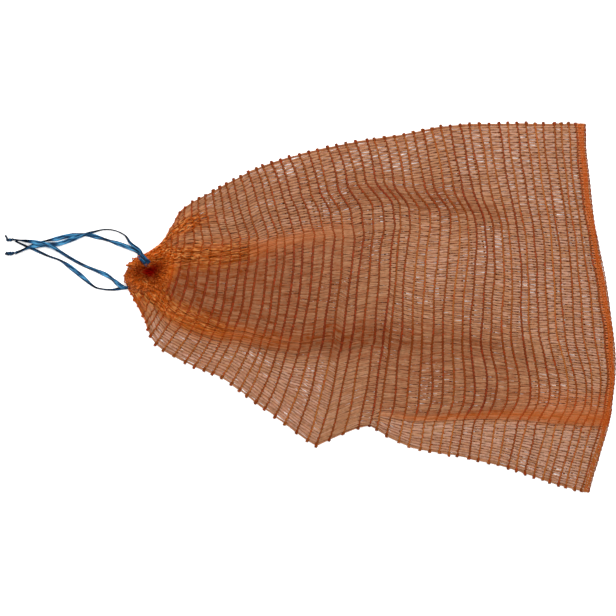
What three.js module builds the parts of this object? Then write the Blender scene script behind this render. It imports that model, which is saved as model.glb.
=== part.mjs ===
// An empty knitted net sack lying flat, its mouth drawn shut by two tape drawstrings.
// Millimetres, +Z up. +X runs from the drawn mouth to the closed hem, and the sack lies on z = 0.
import * as THREE from 'three';

// Outline of the sack from above: each edge is given by points at equal steps along the sack.
const UPPER_EDGE = [
  [-200.2, 52], [-179.1, 89.5], [-141.5, 113], [-102.9, 132.5], [-60.6, 145.7], [-17.4, 155.3],
  [26.8, 162.1], [69.1, 170.5], [113.3, 173], [157.9, 173], [202.2, 173.2],
];
// The lower edge is the loose flap from the mouth to its tip, the tuck back in to the notch,
// and the panel that shows from under the fold, out to the corner of the hem.
const FLAP_EDGE = [
  [-226.1, 16.9], [-212, -9.4], [-202.6, -32.9], [-169.7, -52.6], [-139.6, -65.3], [-111.4, -86],
  [-81.3, -108.1], [-52.5, -129.7],
];
const TUCK_EDGE = [[-52.5, -129.7], [-27.7, -118.4], [-2.8, -109]];
const PANEL_EDGE = [
  [-2.8, -109], [36.2, -129.7], [79.4, -138.2], [118.9, -146.6], [149.9, -156.5], [179.1, -166.4],
  [205.7, -173.6],
];

// Places along the sack, as shares of its length from the mouth (0) to the hem (1).
const TIP_AT = 0.42;
const NOTCH_AT = 0.5;
const HEM_AT = 0.975;

// Sideways bow of the knitted rows between the upper and the lower edge.
const LIP_BULGE = 17;
const LIP_REACH = 0.03;
const ROW_BOW = 31;
const BOW_REACH = 0.07;
const BOW_LOSS_AT_HEM = 0.18;

// Heights of the net above the surface that it lies on. The drawstrings cinch it just behind the mouth.
const RIM_HEIGHT = 2.4;
const BODY_LOFT = 5;
const NECK_LOFT = 13;
const NECK_REACH = 0.085;
const MOUTH_LOFT_SHARE = 0.4;
const MOUTH_REACH = 0.06;
const CINCH_AT = 0.04;
const CINCH_DEPTH = 0.3;
const CINCH_REACH = 0.014;
const HEM_LOFT = 1.6;
const PANEL_LOFT = 1.4;
const FOLD_LOFT = 2.6;

// Folds: the gathers fan out from the mouth, and creases cross the body.
const GATHER_COUNT = 5;
const GATHER_HEIGHT = 4;
const GATHER_REACH = 0.1;
const FAN_RIDGE_HEIGHT = 5;
const FAN_RIDGE_WIDTH = 0.035;
const FAN_RIDGE_END = 0.5;
const CREASE_HEIGHT = 3.2;
const CREASE_WIDTH = 0.045;
const PANEL_SHARE_AT_HEM = 0.182;
const RIM_STRIP = 3;

// The steps of the mesh along the sack, down its body and down the panel below the fold.
const STEPS_ALONG = 50;
const BODY_ROWS = 27;
const PANEL_ROWS = 5;

// The drawstrings: flat tapes, drawn as strips with trimmed corners, and the knots at their ends.
const TAPE_WIDTH = 4.2;
const TAPE_THICKNESS = 0.9;
const TAPE_CORNER = 0.25;
const TAPE_STEPS = 26;
const KNOT_SIZE = { long: 9.4, wide: 5.4, high: 4.2 };
const KNOT_LOBES = 3;
const KNOT_LOBE_DEPTH = 0.14;

// Each tape's route from the mouth to its knot.
const TOP_OUTER_ROUTE = [
  [-217.6, 54.5, 4.6], [-225.6, 61.1, 4], [-230.8, 68.2, 3.2], [-240.2, 72.8, 2.6], [-250.5, 73.8, 2.4],
  [-261.2, 71.4, 2.4], [-269.3, 68.9, 2.4], [-282.5, 63.9, 2.4], [-293.8, 60.3, 2.8], [-305, 59.6, 3.6],
  [-319.1, 57.6, 3.7], [-328.5, 53.6, 2.8], [-334.2, 51.4, 2.3],
];
const TOP_INNER_ROUTE = [
  [-218.5, 52.6, 3], [-229.8, 57.9, 2], [-246.8, 63.7, 0.9], [-263.7, 68.4, 0.8], [-275, 69, 0.8],
  [-285, 67.8, 0.8], [-295.6, 65.2, 1.2], [-305.5, 63.2, 2], [-314, 61, 2.2], [-321, 57.8, 2.3],
  [-328.5, 54.3, 1.6], [-334.2, 52.1, 0.9],
];
const LOW_INNER_ROUTE = [
  [-232.2, 19.4, 3.2], [-243, 27.3, 1.6], [-250.5, 32, 0.9], [-269.3, 39.9, 0.8], [-282.5, 47, 0.9],
  [-291.9, 53, 2.4], [-300.8, 58.3, 4.7], [-314, 61.6, 5.1], [-323.8, 63, 4.2], [-335.1, 64.3, 2.3],
];
const LOW_OUTER_ROUTE = [
  [-232.6, 18.8, 1.2], [-243.9, 17.2, 0.9], [-256.1, 18.6, 0.8], [-262.7, 22, 0.8], [-274.4, 32, 0.8],
  [-290.2, 43.8, 0.8], [-303.4, 49.1, 0.8], [-317.9, 55.6, 0.8], [-328.5, 60.2, 0.8], [-334.6, 63.2, 0.8],
];
const TOP_KNOT_PLACE = [-339.8, 51.1];
const LOW_KNOT_PLACE = [-340.2, 64.7];

// Plastic finishes
const netMaterial = new THREE.MeshStandardMaterial({ color: 0xb8692f, roughness: 0.55, metalness: 0 });
const tapeMaterial = new THREE.MeshStandardMaterial({ color: 0x2d6996, roughness: 0.35, metalness: 0 });

// Small helpers
const { smoothstep } = THREE.MathUtils;
const ridge = (place, centre, width) => Math.exp(-(((place - centre) / width) ** 2));
const curveThrough = (points) => new THREE.SplineCurve(points.map(([x, y]) => new THREE.Vector2(x, y)));

const upperEdge = curveThrough(UPPER_EDGE);
const flapEdge = curveThrough(FLAP_EDGE);
const tuckEdge = curveThrough(TUCK_EDGE);
const panelEdge = curveThrough(PANEL_EDGE);

// A point of the lower edge, at a share of the sack's length.
function lowerPoint(along) {
  if (along < TIP_AT) return flapEdge.getPoint(along / TIP_AT);
  if (along < NOTCH_AT) return tuckEdge.getPoint((along - TIP_AT) / (NOTCH_AT - TIP_AT));
  return panelEdge.getPoint((along - NOTCH_AT) / (1 - NOTCH_AT));
}

// How far a knitted row bows along the sack, at a share of the way from the upper to the lower edge.
function rowBow(along, across) {
  const lip = (1 - (1 - across) ** 12) * (1 - across ** 3);
  const bow = Math.max(Math.sin(Math.PI * across ** (1 + 0.6 * along)), 0) ** 1.2;
  const loss = BOW_LOSS_AT_HEM * smoothstep(along, 0.3, 1);
  const fullBow = ROW_BOW * (1 - Math.exp(-along / BOW_REACH)) * (1 - loss);
  return fullBow * bow - LIP_BULGE * lip * Math.exp(-along / LIP_REACH);
}

// The share of the way down at which the body folds under. Left of the notch it is the rim of the flap.
function foldShare(along, depth) {
  const panel = along > NOTCH_AT ? Math.sqrt((along - NOTCH_AT) / (1 - NOTCH_AT)) : 0;
  return 1 - Math.max(PANEL_SHARE_AT_HEM * panel, RIM_STRIP / depth);
}

// The height of the body at a share of the way down from the upper edge to the fold.
function bodyHeight(along, down) {
  const foldStart = smoothstep(along, NOTCH_AT - 0.02, NOTCH_AT + 0.08);
  const upperRim = 1 - (1 - Math.min(down / 0.1, 1)) ** 2;
  const lowerRim = Math.max(1 - (1 - Math.min((1 - down) / 0.08, 1)) ** 2, foldStart);
  const fanFade = 1 - smoothstep(along, 0.15, FAN_RIDGE_END);
  const upperFan = ridge(down, 0.16 + 0.5 * along, FAN_RIDGE_WIDTH);
  const lowerFan = ridge(down, 0.96 - 0.66 * along, FAN_RIDGE_WIDTH);
  const gathers = GATHER_HEIGHT * Math.exp(-along / GATHER_REACH) * Math.cos(2 * Math.PI * GATHER_COUNT * down);
  const creaseFade = smoothstep(along, 0.35, 0.5) * (1 - smoothstep(along, 0.8, 0.95));
  const upperCrease = ridge(down, 0.15 + 0.42 * (along - 0.4), CREASE_WIDTH);
  const lowerCrease = 0.7 * ridge(down, 0.88, CREASE_WIDTH);
  const body = BODY_LOFT
    + NECK_LOFT * ridge(along, 0, NECK_REACH)
    + gathers
    + FAN_RIDGE_HEIGHT * fanFade * (upperFan + lowerFan)
    + CREASE_HEIGHT * creaseFade * (upperCrease + lowerCrease)
    + FOLD_LOFT * foldStart * smoothstep(down, 0.8, 0.97)
    + HEM_LOFT * smoothstep(along, HEM_AT - 0.01, HEM_AT);
  const mouthRim = THREE.MathUtils.lerp(MOUTH_LOFT_SHARE, 1, smoothstep(along, 0, MOUTH_REACH));
  const cinch = 1 - CINCH_DEPTH * ridge(along, CINCH_AT, CINCH_REACH);
  return RIM_HEIGHT + body * upperRim * lowerRim * mouthRim * cinch;
}

// The height of the panel below the fold.
function panelHeight(along, down) {
  const hem = HEM_LOFT * smoothstep(along, HEM_AT - 0.01, HEM_AT);
  const shown = smoothstep(along, NOTCH_AT, NOTCH_AT + 0.1);
  return RIM_HEIGHT + (PANEL_LOFT + hem) * shown * (1 - down ** 4);
}

// The sack: a block of small cells laid out between the two edges, its top raised into the folds.
function sackGeometry() {
  const rows = BODY_ROWS + PANEL_ROWS;
  const geometry = new THREE.BoxGeometry(1, 1, 1, STEPS_ALONG, rows, 1);
  const cells = geometry.getAttribute('position');
  for (let index = 0; index < cells.count; index += 1) {
    const along = Math.round((cells.getX(index) + 0.5) * STEPS_ALONG) / STEPS_ALONG;
    const row = Math.round((0.5 - cells.getY(index)) * rows);
    const upper = upperEdge.getPoint(along);
    const lower = lowerPoint(along);
    const fold = foldShare(along, upper.distanceTo(lower));
    const bodyDown = Math.min(row / BODY_ROWS, 1);
    const panelDown = Math.max((row - BODY_ROWS) / PANEL_ROWS, 0) ** 2;
    const across = fold * bodyDown + (1 - fold) * panelDown;
    const place = upper.lerp(lower, across);
    const top = panelDown > 0 ? panelHeight(along, panelDown) : bodyHeight(along, bodyDown);
    const height = cells.getZ(index) > 0 ? top : 0;
    cells.setXYZ(index, place.x + rowBow(along, across), place.y, height);
  }
  geometry.computeVertexNormals();
  return geometry;
}

// A tape: a flat strip with trimmed corners, drawn along its route.
function tapeGeometry(route) {
  const half = { thick: TAPE_THICKNESS / 2, wide: TAPE_WIDTH / 2 };
  const corners = [
    [half.thick, half.wide - TAPE_CORNER], [half.thick - TAPE_CORNER, half.wide],
    [TAPE_CORNER - half.thick, half.wide], [-half.thick, half.wide - TAPE_CORNER],
    [-half.thick, TAPE_CORNER - half.wide], [TAPE_CORNER - half.thick, -half.wide],
    [half.thick - TAPE_CORNER, -half.wide], [half.thick, TAPE_CORNER - half.wide],
  ];
  const section = new THREE.Shape(corners.map(([x, y]) => new THREE.Vector2(x, y)));
  const path = new THREE.CatmullRomCurve3(route.map((point) => new THREE.Vector3(...point)));
  return new THREE.ExtrudeGeometry(section, { steps: TAPE_STEPS, extrudePath: path, bevelEnabled: false });
}

// A knot: a small lump with the swell of the turns wound round it.
function knotGeometry() {
  const geometry = new THREE.SphereGeometry(0.5, 14, 10);
  const points = geometry.getAttribute('position');
  const point = new THREE.Vector3();
  for (let index = 0; index < points.count; index += 1) {
    point.fromBufferAttribute(points, index);
    const swell = 1 - KNOT_LOBE_DEPTH * Math.sin(Math.PI * KNOT_LOBES * (point.x + 0.5)) ** 2;
    points.setXYZ(index, point.x * KNOT_SIZE.long, point.y * KNOT_SIZE.wide * swell, point.z * KNOT_SIZE.high * swell);
  }
  geometry.computeVertexNormals();
  return geometry;
}

function addPiece(group, name, geometry, material) {
  const piece = new THREE.Mesh(geometry, material);
  piece.name = name;
  group.add(piece);
  return piece;
}

// One drawstring shows as two runs of tape that leave the mouth together and end in one knot.
function drawstring(outer, inner, knot) {
  const group = new THREE.Group();
  addPiece(group, outer.name, tapeGeometry(outer.route), tapeMaterial);
  addPiece(group, inner.name, tapeGeometry(inner.route), tapeMaterial);
  const lump = addPiece(group, knot.name, knotGeometry(), tapeMaterial);
  lump.position.set(...knot.place, KNOT_SIZE.high / 2);
  return group;
}

const sack = new THREE.Group();
addPiece(sack, 'sack_net', sackGeometry(), netMaterial);
sack.add(drawstring(
  { name: 'top_tape_outer', route: TOP_OUTER_ROUTE },
  { name: 'top_tape_inner', route: TOP_INNER_ROUTE },
  { name: 'top_tape_knot', place: TOP_KNOT_PLACE },
));
sack.add(drawstring(
  { name: 'low_tape_outer', route: LOW_OUTER_ROUTE },
  { name: 'low_tape_inner', route: LOW_INNER_ROUTE },
  { name: 'low_tape_knot', place: LOW_KNOT_PLACE },
));

export default sack;
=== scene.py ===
import math

import bmesh
import bpy
import numpy as np
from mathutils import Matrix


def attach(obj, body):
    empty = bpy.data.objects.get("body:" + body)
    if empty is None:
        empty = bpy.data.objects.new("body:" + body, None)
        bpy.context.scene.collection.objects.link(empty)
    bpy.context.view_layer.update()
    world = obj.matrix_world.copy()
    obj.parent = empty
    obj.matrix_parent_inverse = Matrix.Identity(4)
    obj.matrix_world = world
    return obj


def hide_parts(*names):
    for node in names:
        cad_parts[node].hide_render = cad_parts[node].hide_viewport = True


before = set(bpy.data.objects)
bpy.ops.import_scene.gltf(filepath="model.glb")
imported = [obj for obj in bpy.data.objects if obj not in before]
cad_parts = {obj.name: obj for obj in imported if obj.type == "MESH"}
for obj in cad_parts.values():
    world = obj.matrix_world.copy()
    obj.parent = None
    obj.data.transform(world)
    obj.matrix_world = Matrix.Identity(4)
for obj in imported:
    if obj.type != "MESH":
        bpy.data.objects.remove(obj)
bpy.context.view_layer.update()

# The view: the empty sack lies flat on a table and is seen from straight above, its tied mouth
# to the left. A long lens keeps the thickness of the heap from spreading towards the edges.
PICTURE_WIDTH = 0.579
PICTURE_CENTRE = (-0.05875, 0.0)
NET_LEVEL = 0.004
LENS_MM = 85
SENSOR_MM = 36

camera = bpy.data.objects.new("camera", bpy.data.cameras.new("camera"))
camera.data.lens = LENS_MM
camera.data.sensor_width = SENSOR_MM
camera.data.clip_start = 0.01
camera.data.clip_end = 20
camera.location = (*PICTURE_CENTRE, NET_LEVEL + PICTURE_WIDTH * LENS_MM / SENSOR_MM)
bpy.context.scene.collection.objects.link(camera)
bpy.context.scene.camera = camera

# The lie of the net: a flat knitted tube of orange plastic thread, drawn together at the mouth and
# fanning out to a sewn end. Its outline and the bow of its rows are in millimetres, along 0 at the
# mouth to 1 at the sewn end, across 0 at the upper edge to 1 at the lower edge.
MM = 0.001
UPPER_EDGE = np.array([
    [-200.2, 52], [-179.1, 89.5], [-141.5, 113], [-102.9, 132.5], [-60.6, 145.7], [-17.4, 155.3],
    [26.8, 162.1], [69.1, 170.5], [113.3, 173], [157.9, 173], [202.2, 173.2],
])
FLAP_EDGE = np.array([
    [-226.1, 16.9], [-212, -9.4], [-202.6, -32.9], [-169.7, -52.6], [-139.6, -65.3],
    [-111.4, -86], [-81.3, -108.1], [-52.5, -129.7],
])
TUCK_EDGE = np.array([[-52.5, -129.7], [-27.7, -118.4], [-2.8, -109]])
PANEL_EDGE = np.array([
    [-2.8, -109], [36.2, -129.7], [79.4, -138.2], [118.9, -146.6], [149.9, -156.5],
    [179.1, -166.4], [205.7, -173.6],
])
TIP_AT = 0.42
NOTCH_AT = 0.5
FLAP_LAG = 1.22
LIP_BULGE = 17
LIP_REACH = 0.03
ROW_BOW = 31
BOW_APEX = 0.3
BOW_GROWN_AT = 0.35
MIDDLE_BOW = 18
MIDDLE_AT = 0.6
HEM_BOW = 25.4
HEM_BOW_GROWS = (0.5, 0.85)
PANEL_SHARE_AT_HEM = 0.182
FOLD_CURVE = 0.44
CREASE_AT = 0.18
CREASE_SLOPE = 0.3
CREASE_SKEW = 13
LOW_SKEW = 7.15


def smooth(value, start, end):
    step = np.clip((value - start) / (end - start), 0, 1)
    return step * step * (3 - 2 * step)


def window(value, start, full, fading, end):
    """A soft step up from start to full, and down again from fading to end."""
    return smooth(value, start, full) * (1 - smooth(value, fading, end))


def ridge(value, centre, width):
    return np.exp(-(((value - centre) / width) ** 2))


def edge_point(points, share):
    """A point of the smooth line through evenly counted points, share 0 to 1 along it."""
    last = len(points) - 1
    place = min(max(share, 0), 1) * last
    start = min(int(place), last - 1)
    step = place - start
    before, here = points[max(start - 1, 0)], points[start]
    ahead, after = points[start + 1], points[min(start + 2, last)]
    slope_here, slope_ahead = (ahead - before) / 2, (after - here) / 2
    cubic = 2 * here - 2 * ahead + slope_here + slope_ahead
    square = -3 * here + 3 * ahead - 2 * slope_here - slope_ahead
    return cubic * step**3 + square * step**2 + slope_here * step + here


def lower_edge(along):
    if along < TIP_AT:
        return edge_point(FLAP_EDGE, (along / TIP_AT) ** FLAP_LAG)
    if along < NOTCH_AT:
        return edge_point(TUCK_EDGE, (along - TIP_AT) / (NOTCH_AT - TIP_AT))
    return edge_point(PANEL_EDGE, (along - NOTCH_AT) / (1 - NOTCH_AT))


EDGE_PLACES = np.linspace(0, 1, 1001)
upper_line = np.array([edge_point(UPPER_EDGE, place) for place in EDGE_PLACES])
lower_line = np.array([lower_edge(place) for place in EDGE_PLACES])


def on_edge(line, along):
    return np.column_stack([np.interp(along, EDGE_PLACES, line[:, axis]) for axis in (0, 1)])


def row_bow(along, across):
    """How far a row bulges towards the sewn end, or near the mouth round the gathered lip."""
    lip = (1 - (1 - across) ** 12) * (1 - across**3)
    rise = 1 - (1 - np.minimum(across / BOW_APEX, 1)) ** 1.15
    fall = np.maximum((across - BOW_APEX) / (1 - BOW_APEX), 0)
    mouth_bow = rise * (1 - 0.45 * fall - 0.55 * fall**4)
    mouth_size = ROW_BOW + (MIDDLE_BOW - ROW_BOW) * smooth(along, BOW_GROWN_AT, MIDDLE_AT)
    mouth_size = mouth_size * smooth(along, 0, BOW_GROWN_AT)
    hem_bow = np.maximum(np.sin(np.pi * across ** (1 + 0.6 * along)), 0) ** 1.2
    hem = smooth(along, *HEM_BOW_GROWS)
    bow = (1 - hem) * mouth_size * mouth_bow + hem * HEM_BOW * hem_bow
    return bow - LIP_BULGE * lip * np.exp(-along / LIP_REACH)


def crease_place(along):
    return CREASE_AT + CREASE_SLOPE * np.maximum(along - NOTCH_AT, 0)


def fold_share(along):
    """The share of the depth at which the front is folded over the panel below it."""
    return 1 - PANEL_SHARE_AT_HEM * (np.maximum(along - NOTCH_AT, 0) / (1 - NOTCH_AT)) ** FOLD_CURVE


def front_skew(along, across):
    """The rows' jog towards the sewn end where they cross the two long creases of the front."""
    crease, fold = crease_place(along), fold_share(along)
    jog = CREASE_SKEW * window(along, 0.25, 0.5, 0.6, 0.86)
    past = window(across, crease - 0.05, crease + 0.04, crease + 0.1, crease + 0.65)
    low = LOW_SKEW * window(along, 0.5, 0.7, 0.9, 1)
    bulge = window(across, fold - 0.25, fold - 0.08, fold - 0.06, fold + 0.02)
    return jog * past + low * (bulge - ridge(across, 0.53, 0.17))


# The rows: knitted chains of heavier thread, one stitch after the other round the tube, that show
# as the dark lines across the sack. Every row is as long as the sack is wide, so it lies in bunched
# pleats where the sack narrows to its mouth, and once more above the fold of the lower end.
ROW_COUNT = 52
MIDDLE_ROW = ROW_COUNT // 2
LAST_ROW_AT = 0.972
ROW_WIDTH = 2.1
ROW_THICKNESS = 1.1
ROW_SECTION = np.array([[math.cos(k * math.pi / 3), math.sin(k * math.pi / 3)] for k in range(6)])
ROW_SHADE_SPREAD = (10, 30, ROW_COUNT, ROW_COUNT + 1), (0.04, 0.14, 0.14, 0.02)
# The back rows are painted a little paler: painted light against the shade the front casts on them.
BACK_ROW_SHADE = -0.05
STITCH = 2.4
STITCH_SWELL = (0.8, 1.1)
STITCH_WANDER = 0.2
NUB = 2.4
NUB_SPREAD = (0.6, 1.3)
NUB_SWELL = (1.35, 1.3)
NUB_SHADE = 0.1
LEAST_NUB = 1
HEM_ROWS_AT = (0.9812, 0.985, 0.9888, 0.9926, 1.0)
HEM_ROW_WIDTH = 2.2
HEM_ROW_END = 0.3
HEM_EDGE_WIDTH = 1.0
HEM_EDGE_SHADE = 0.2
BACK_LEVEL = 1.0
BACK_RIM = 4
FRONT_LEVEL = 5.6
FLAP_LEVEL = 2.8
PANEL_LEVEL = 3.2
EDGE_LEVEL = 1.5
LOWEST_ROW = 1
RIM_WIDTH = 12
RIM_SHARE = 0.12
UPPER_STREAK = (0, 0.04, 0.1, 0.2, 0.26, 0.3, 0.35, 0.4, 0.44, 0.5), (
    0.3, 0.35, 0.41, 0.395, 0.37, 0.336, 0.302, 0.278, 0.274, 0.3)
LOWER_STREAK = (0, 0.04, 0.08, 0.13, 0.2, 0.24, 0.28, 0.32, 0.36, 0.4, 0.45, 0.52, 0.62, 0.75), (
    0.75, 0.765, 0.81, 0.82, 0.838, 0.838, 0.815, 0.785, 0.745, 0.672, 0.69, 0.722, 0.685, 0.705)
BUNCH_SHARE = 0.2
UPPER_BUNCH = 20
UPPER_FOLDS = 7
UPPER_FOLD_HEIGHT = 3.4
LOWER_BUNCH = 16
LOWER_FOLDS = 6
LOWER_FOLD_HEIGHT = 3
PLEAT_OVERLAP = (0, 0.1, 0.2, 0.3, 0.4, 0.5, 0.6), (0.2, 0.2, 0.16, 0.12, 0.07, 0.03, 0)
PLEAT_NOSE = 1.5
PLEAT_ROUNDING = 1.0
TUCK_START = 4
TUCK_GROWTH = 11
TUCK_TURN = 1.2
TUCK_FOLDS = 6
TUCK_FOLD_HEIGHT = 0.8
NECK_DENT = 2.5
NECK_SWELL = 7
CREASE_STEP = 4
STREAK_BULGE = 5
BACK_SLIP = 4
DEPTH_TAKEN_AT = 0.8
WOBBLE = 0.5
WOBBLE_LENGTHS = (40, 90)
CRUMPLE_ASIDE = 0.9
CRUMPLE_UP = 1.1
CRUMPLE_LENGTHS = (4.5, 10)
END_REACH = 6
SAMPLE = 0.6
ON_TABLE = 0.1
THREAD_SHARES = ("tone_and_layer_shade", "pleated", "hollow_shade", "glint")


def fade(along, end, power=0.7):
    return np.maximum(1 - along / end, 0) ** power


def streak_places(along):
    return np.interp(along, *UPPER_STREAK), np.interp(along, *LOWER_STREAK)


def drift(along, across):
    """How far ahead of its even place a row lies: it hangs back where the net is slack."""
    row = along * ROW_COUNT / LAST_ROW_AT
    low = smooth(across, 0.35, 0.7)
    slack_row = 17.5 + 9 * smooth(across, 0, 0.45) - 2 * low
    slack = (1.6 + 1.2 * smooth(across, 0, 0.35) - 0.5 * low) * ridge(row, slack_row, 12.5 - 3.5 * low)
    above_fold = 1.8 * low * ridge(row, 39.5, 7)
    upper_end = 0.8 * ridge(row, 46, 8) * (1 - smooth(across, 0.3, 0.65))
    flap = 0.5 * ridge(row, 6, 6) * ridge(across, 0.72, 0.25)
    ahead = (upper_end + flap - slack - above_fold) * window(row, 0, 6, 49, 52.4)
    return ahead * LAST_ROW_AT / ROW_COUNT


def bunch_steps(at, width, folds, height, lean):
    """Control points, distance down the row and height, of a bunch of upright pleats."""
    pitch = width / folds
    ramp = 0.6 * pitch
    valleys = at - width / 2 + pitch * np.arange(folds + 1)
    crests = valleys[:-1] + pitch * (0.5 + lean)
    jag = height * (0.85 + 0.2 * np.cos(2.4 * np.arange(folds))) * np.linspace(1.1, 0.6, folds)
    down, rise = [valleys[0] - ramp], [0]
    for number in range(folds):
        down += [valleys[number], crests[number]]
        rise += [0, jag[number]]
    return np.column_stack([down + [valleys[-1], valleys[-1] + ramp], rise + [0, 0]])


def front_steps(along, depth):
    """Control points of a front row: up from the edge, through its pleats, over the fold, down."""
    body = FRONT_LEVEL * (1 - 0.4 * float(smooth(along, 0.955, 0.998)))
    flap = FLAP_LEVEL + (body - FLAP_LEVEL) * float(smooth(along, 0.4, 0.6))
    shown = float(smooth(along, NOTCH_AT, NOTCH_AT + 0.06))
    panel = flap + (PANEL_LEVEL - flap) * shown
    rim = min(RIM_WIDTH, RIM_SHARE * depth)
    rise = np.array([[0, EDGE_LEVEL], [0.3 * rim, 0.6 * body], [rim, body]])
    widest = BUNCH_SHARE * depth
    upper_at, lower_at = [depth * place for place in streak_places(along)]
    fan = fade(along, 0.55)
    bunch = min(UPPER_BUNCH * fan, widest)
    upper_bunch = bunch_steps(upper_at, bunch, UPPER_FOLDS, UPPER_FOLD_HEIGHT * fan, -0.3)
    overlap = depth * np.interp(along, *PLEAT_OVERLAP)
    fan = fade(along, 0.6)
    bunch = min(LOWER_BUNCH * fan, widest, overlap)
    lower_bunch = bunch_steps(lower_at - 0.5 * bunch - 1, bunch, LOWER_FOLDS, LOWER_FOLD_HEIGHT * fan, 0.4)
    nose = min(PLEAT_NOSE, 0.1 * overlap)
    level = body - flap
    pleat = np.array([
        [lower_at + nose, flap + 0.3 * level], [lower_at - 0.4 * overlap, flap + 0.25 * level],
        [lower_at - overlap - nose, flap + 0.2 * level], [lower_at - 0.4 * overlap, flap + 0.1 * level],
        [lower_at + nose, flap],
    ])
    fold_at = fold_share(along) * depth if along > NOTCH_AT else depth - rim
    tucked = shown * (TUCK_START + TUCK_GROWTH * float(smooth(along, 0.55, 0.95)))
    turn = min(TUCK_TURN, 0.2 * tucked)
    tuck_height = TUCK_FOLD_HEIGHT * min(1, tucked / 8)
    fold_bunch = bunch_steps(fold_at - 0.5 * tucked - turn, tucked, TUCK_FOLDS, tuck_height, 0.4)
    fold = np.array([
        [fold_at + turn, 0.5 * (flap + panel)], [fold_at - 0.4 * tucked, 0.4 * flap + 0.6 * panel],
        [fold_at - tucked - turn, 0.2 * flap + 0.8 * panel], [fold_at - 0.5 * tucked, panel],
        [fold_at + shown * 3, panel],
    ])
    low_rim = min(rim, 0.4 * max(depth - fold_at, 3))
    fall = np.array([[depth - low_rim, panel], [depth - 0.3 * low_rim, 0.7 * panel], [depth, EDGE_LEVEL]])
    return np.concatenate([
        rise, upper_bunch + [0, body], lower_bunch + [0, flap + 0.4 * level], pleat,
        fold_bunch + [0, 0.4 * flap + 0.6 * panel], fold, fall])


def back_steps(along, depth):
    """Control points of a back row, which lies flat on the table."""
    return np.array([
        [0, EDGE_LEVEL], [BACK_RIM, BACK_LEVEL], [depth - BACK_RIM, BACK_LEVEL], [depth, EDGE_LEVEL]])


def front_crumple(along, across):
    """How crumpled a row lies: wholly beside the tied neck, and along the start of the two streaks."""
    upper, lower = streak_places(along)
    neck = 1.4 * ridge(along, 0, 0.07)
    upper_start = ridge(across, upper - 0.02, 0.08) * fade(along, 0.26, 0.5)
    puckered = 0.9 * ridge(across, 0.15, 0.06) * ridge(along, 0.13, 0.04)
    lower_start = ridge(across, lower - 0.05, 0.06) * fade(along, 0.26, 0.6)
    return np.clip(neck + upper_start + puckered + lower_start, 0, 1)


def front_density(along, across):
    """How much closer than in the flat sack the stitches of a row stand, where it is drawn in; in some
    places raised further for painted shade, as density also deepens the threads' colour.
    """
    upper, lower = streak_places(along)
    crease, fold = crease_place(along), fold_share(along)
    between = window(across, upper - 0.06, upper + 0.04, lower - 0.03, lower + 0.05)
    gathered = 1.3 * fade(along, 0.66, 1.1) * between
    # The band along the lower streak, the crease, the strip above the fold and the patch below the streak
    # are partly painted shade: the stitches stand closer and the threads turn darker there.
    band = 0.55 * ridge(across, lower - 0.03, 0.07) * window(along, 0.25, 0.45, 0.75, 0.92)
    creased = 0.55 * ridge(across, crease - 0.01, 0.055) * window(along, 0.35, 0.5, 0.72, 0.9)
    above_fold = 0.3 * ridge(across, fold - 0.05, 0.05) * smooth(along, 0.6, 0.8)
    fold_line = 0.6 * ridge(across, fold - 0.012, 0.016) * smooth(along, 0.52, 0.65)
    below_streak = window(across, lower - 0.02, lower + 0.06, fold - 0.03, fold)
    below = 0.35 * window(along, 0.38, 0.5, 0.65, 0.85) * below_streak
    crumpled = 1.8 * front_crumple(along, across)
    return 1 + gathered + band + creased + above_fold + fold_line + below + crumpled


def front_pleated(along, across):
    """Where the rows of the front lie in fine bright pleats: the two streaks, the fold and the hem."""
    upper, lower = streak_places(along)
    neck = fade(along, 0.3)
    upper_streak = 0.75 * ridge(across, upper - 0.01, 0.04 + 0.05 * neck) * fade(along, 0.45, 0.7)
    lower_streak = 0.9 * ridge(across, lower - 0.03, 0.035 + 0.04 * neck) * fade(along, 0.38, 0.6)
    above = fold_share(along) - across
    thick = smooth(along, 0.6, 0.9)
    fold = 0.42 * ridge(above, 0.006 + 0.008 * thick, 0.009 + 0.013 * thick) * smooth(along, 0.5, 0.6)
    fold = fold + 0.28 * ridge(above, 0.055, 0.035) * smooth(along, 0.7, 0.85)
    hem = 0.6 * window(along, 0.973, 0.981, 0.993, 0.998) * (0.15 + 0.85 * smooth(above, -0.03, 0))
    streaks = np.maximum(np.maximum(upper_streak, lower_streak), np.maximum(fold, hem))
    return np.maximum(streaks, front_crumple(along, across))


def front_pale(along, across):
    """Where the front shows paler: the loose flap, the panel, the sewn end and a patch of the middle."""
    lower, fold = np.interp(along, *LOWER_STREAK), fold_share(along)
    panel = smooth(across, fold - 0.005, fold + 0.015) * smooth(along, 0.5, 0.56)
    flap = 0.85 * smooth(across, lower + 0.02, lower + 0.09) * (1 - smooth(along, 0.4, 0.55))
    end = 0.6 * smooth(along, 0.65, 0.85)
    middle = 0.7 * ridge(along, 0.58, 0.12) * ridge(across, 0.42, 0.12)
    return np.maximum(np.maximum(panel, flap), np.maximum(end, middle))


def front_relief(along, across):
    """The swell of the gathered neck, the step down at the crease and the bulge above the lower streak."""
    inside = np.clip(np.sin(np.pi * across), 0, 1) ** 0.6
    neck = NECK_SWELL * ridge(along, 0.05, 0.07)
    crease = crease_place(along)
    above_crease = window(across, 0, 0.08, crease - 0.03, crease + 0.05)
    step_down = CREASE_STEP * window(along, 0.3, 0.5, 0.75, 0.95) * above_crease
    streak = np.interp(along, *LOWER_STREAK)
    above_streak = window(across, 0.2, 0.45, streak - 0.075, streak + 0.01)
    bulge = STREAK_BULGE * window(along, 0.12, 0.3, 0.75, 0.95) * above_streak
    ripple = 0.8 * np.sin(23 * along + 7 * across) * np.sin(11 * across - 5 * along + 1)
    return inside * (neck + step_down + bulge + ripple)


def back_density(along, across):
    return 1 + 0.8 * fade(along, 0.5, 1.2) * np.clip(np.sin(np.pi * across), 0, 1)


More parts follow.
